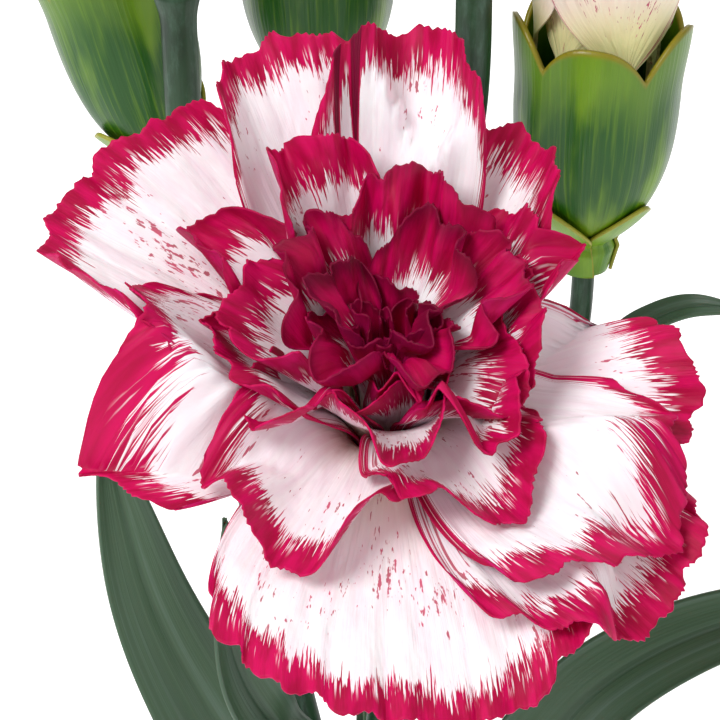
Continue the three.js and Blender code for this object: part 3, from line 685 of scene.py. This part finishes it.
print("side flowers:", *places)

# %% [markdown]
# ## Stem and branches
# A carnation's stem is jointed: it swells at every pair of leaves, and side branches leave from the
# angle above a leaf with a broad foot. A round skin is drawn along a smooth line through a few points.

# %% Stems
def smooth_line(points, count):
    """Evenly spaced points on a Catmull-Rom line, their tangents and the way walked to each."""
    knots = np.array(points, float)
    knots = np.vstack([2 * knots[0] - knots[1], knots, 2 * knots[-1] - knots[-2]])
    t = np.linspace(0, 1, 30)[:, None]
    fine = []
    for a, b, c, d in zip(knots[:-3], knots[1:-2], knots[2:-1], knots[3:]):
        square, cube = 2 * a - 5 * b + 4 * c - d, 3 * b - a - 3 * c + d
        fine.append(0.5 * (2 * b + (c - a) * t + square * t ** 2 + cube * t ** 3))
    fine = np.vstack(fine)
    walked = np.concatenate([[0], np.cumsum(np.linalg.norm(np.diff(fine, axis=0), axis=1))])
    at = np.linspace(0, walked[-1], count)
    line = np.stack([np.interp(at, walked, fine[:, k]) for k in range(3)], -1)
    ahead = np.gradient(line, axis=0)
    return line, ahead / np.linalg.norm(ahead, axis=1, keepdims=True), at


def limb(name, points, radius_at, count=110):
    """A round skin with closed ends. radius_at takes the share of the way walked, and the line."""
    line, ahead, at = smooth_line(points, count)
    front = np.cross(np.array([1.0, 0, 0]), ahead)
    front /= np.linalg.norm(front, axis=1, keepdims=True)
    side = np.cross(ahead, front)
    angle = np.linspace(0, 2 * np.pi, 40, endpoint=False)[None, :, None]
    radius = radius_at(at / at[-1], line)[:, None, None]
    grid = line[:, None] + radius * (np.cos(angle) * side[:, None] + np.sin(angle) * front[:, None])
    grid = np.concatenate([line[:1, None] + 0 * grid[:1], grid, line[-1:, None] + 0 * grid[:1]])
    at = np.concatenate([at[:1], at, at[-1:]])[:, None] + 0 * angle[..., 0]
    marks = np.stack([angle[..., 0] * 2.2 + 0 * at, at + 10, at * 0 + 1], -1)
    skin(name + "_look", grid, marks, [stem_skin], name, "stem", ring=True)


NODES = (20, 44, 68)  # mm up the stem, where leaves are joined


def stem_radius(t, line):
    heights = line[:, 2]
    swell = sum(0.85 * np.exp(-(((heights - h) / 1.7) ** 2)) + 0.3 * np.exp(-(((heights - h - 4) / 4) ** 2))
                for h in NODES)
    return 2.35 - 0.45 * t + swell


def branch_radius(slim, foot):
    """slim: a factor on its thickness. foot: how far it swells, or thins, where it begins."""
    return lambda t, line: slim * (
        1.5 - 0.2 * t + foot * np.exp(-t / 0.03) + 0.5 * np.exp(-(((1 - t) / 0.03) ** 2)))


def foot_of(place, length):
    """Where the stem meets a calyx of that length."""
    return place(np.array([0, 0, -length - 0.1]))


bloom_foot = foot_of(bloom, BLOOM_CALYX_LENGTH)
limb("stem", [(0, 0, 0), (0, 0, 30), (0, 0, 58), (0, -1.6, 76), bloom_foot], stem_radius, 260)
for name, mouth, axis, radius, length, tip, course in SIDE_FLOWERS:
    shape = branch_radius(1.0, 0.9) if name in BUD_PETALS else branch_radius(1.5, -1.1)
    limb(name + "_branch", [*course, foot_of(places[name], length)], shape)
print("stem and", len(SIDE_FLOWERS), "branches")

# %% [markdown]
# ## Leaves
# The leaves are long, narrow and channelled, and clasp the stem at its joints. Each is a skin along a
# curve, folded up at both sides.

# %% The leaves
LEAVES = [
    # name, x, y, height, azimuth, half width, [out, up] points, fold, twist in degrees
    ("leaf_lower_front", 0, 0, 20, -90, 3.4, [(6.5, 3), (11, 13), (26, 28), (46, 33), (63, 27)], 0.35, 15),
    ("leaf_lower_back", 0, 0, 20, 90, 3.4, [(6.5, 3), (10, 15), (22, 36), (40, 47), (57, 46)], 0.35, -20),
    ("leaf_middle_left", 0, 0, 44, 178, 6.8, [(8.2, 2.6), (13, 14), (21, 31), (27, 48), (31, 70)], 0.16, -76),
    ("leaf_middle_right", 0, 0, 44, 2, 6.0, [(8.2, 2.6), (14, 15), (25, 34), (42, 44), (60, 44)], 0.2, 58),
    ("leaf_upper_front", 0, 0, 68, -150, 4.2, [(6.8, 3), (13, 9), (18, 19), (20, 30), (20, 43)], 0.25, -70),
    ("leaf_upper_back", 0, 0, 68, 84, 3.6, [(7.8, 2.4), (13, 8), (24, 14), (40, 12), (54, 2)], 0.4, 20),
    ("leaf_branch_right", 22.6, 25.6, 106, -14, 1.9, [(4, 4), (8, 8), (13, 11), (19, 11.5)], 0.3, 30),
]
for number, (name, x, y, height, azimuth, half, path, fold, twist) in enumerate(LEAVES):
    start = 1.5 if x else 2.6
    line, ahead, at = smooth_line([(start, 0, -0.6), *[(out, 0, up) for out, up in path]], 90)
    t = (at / at[-1])[:, None]
    u = np.linspace(-1, 1, 25)[None, :]
    width = half * np.minimum(1, 0.6 + 2.5 * t) * np.maximum(1 - t ** 2.4, 0) ** 0.7 + 0.12
    lift = width * (fold + 0.5 * np.exp(-t / 0.05)) * (u ** 2) - 0.25 * np.exp(-((u / 0.12) ** 2))
    lift = lift + 0.05 * half * np.sin(9 * t + 2 * u + number)
    turn, wring = np.radians(azimuth), (np.radians(twist) * smooth(t, 0.08, 0.45))[..., None]
    out, side, up = np.array([[np.cos(turn), np.sin(turn), 0], [-np.sin(turn), np.cos(turn), 0], [0, 0, 1]])
    rise = (-ahead[:, 2:])[..., None] * out + ahead[:, :1][..., None] * up
    broad, high = np.cos(wring) * side + np.sin(wring) * rise, np.cos(wring) * rise - np.sin(wring) * side
    middle = np.array([x, y, height]) + line[:, :1][..., None] * out + line[:, 2:][..., None] * up
    grid = middle + (u * width)[..., None] * broad + lift[..., None] * high
    marks = np.stack([u * half + 30 * number + 0 * t, (1 - np.abs(u)) * width + 0.5, t * 1.2 + 0 * u], -1)
    skin(name + "_look", grid, marks, [leaf_skin], name, "leaf", thick=0.42)
print("grew", len(LEAVES), "leaves")

# %% [markdown]
# ## Inside the calyx
# The ovary and its style are hidden by the claws, but the part has them, so they get a finish too.

# %% The ovary
ovary_skin = green_finish("ovary skin", srgb(150, 168, 96), srgb(190, 204, 140), srgb(180, 196, 120),
                          srgb(190, 204, 140), 0.5)
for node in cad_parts.values():
    if node.name.startswith("pistil"):
        node.data.materials.clear()
        node.data.materials.append(ovary_skin)
        print("finished", node.name)

# %% [markdown]
# ## Light and camera
# A wide pale floor and large soft lights, as in a small studio: a key from the upper left, a
# weaker one from the right, and one from behind that shines through the petals.

# %% Floor, lights and camera
FLOOR_REACH, FLOOR_DROP = 4, 0.0005  # m
corners = [(x * FLOOR_REACH, y * FLOOR_REACH, -FLOOR_DROP) for x, y in ((-1, -1), (1, -1), (1, 1), (-1, 1))]
floor_mesh = bpy.data.meshes.new("floor")
floor_mesh.from_pydata(corners, [], [(0, 1, 2, 3)])
floor = bpy.data.objects.new("floor", floor_mesh)
bpy.context.collection.objects.link(floor)
paper = Recipe("floor paper", roughness=0.9, base_color=(0.9, 0.9, 0.9, 1),
               emission_color=(1, 1, 1, 1), emission_strength=0.45)
floor_mesh.materials.append(paper.material)

world = bpy.data.worlds.new("studio")
bpy.context.scene.world = world
world.use_nodes = True
sky = world.node_tree.nodes["Background"]
sky.inputs["Color"].default_value = (1, 1, 1, 1)
sky.inputs["Strength"].default_value = 0.5
bpy.context.scene.view_settings.view_transform = "Standard"


LIGHT_AIM = Vector((0, 0, 0.13))


def soft_light(name, place, size, power):
    """A square lamp that faces the flowers: its side in metres, its power in watts."""
    data = bpy.data.lights.new(name, "AREA")
    data.size, data.energy = size, power
    light = bpy.data.objects.new(name, data)
    light.location = place
    light.rotation_euler = (LIGHT_AIM - Vector(place)).to_track_quat("-Z", "Y").to_euler()
    bpy.context.collection.objects.link(light)


soft_light("key", (-0.5, -0.45, 0.95), 0.45, 8.2)
soft_light("fill", (0.8, -0.5, 0.5), 0.8, 1.4)
soft_light("back", (0.1, 0.8, 0.8), 0.6, 2.4)

CAMERA_PITCH = np.radians(35)  # looking down
CAMERA_DISTANCE = 0.330  # m
camera_data = bpy.data.cameras.new("camera")
camera = bpy.data.objects.new("camera", camera_data)
bpy.context.collection.objects.link(camera)
camera_data.lens, camera_data.sensor_width, camera_data.clip_start = 157, 36, 0.01
ahead = Vector((0, np.cos(CAMERA_PITCH), -np.sin(CAMERA_PITCH)))
above = Vector((0, np.sin(CAMERA_PITCH), np.cos(CAMERA_PITCH)))
aim = Vector(BLOOM_CENTRE) * MM + Vector((-0.0029, 0, 0)) + above * 0.0086
camera.location = aim - ahead * CAMERA_DISTANCE
camera.rotation_euler = ahead.to_track_quat("-Z", "Y").to_euler()
bpy.context.scene.camera = camera
print("camera at", [round(v, 3) for v in camera.location])
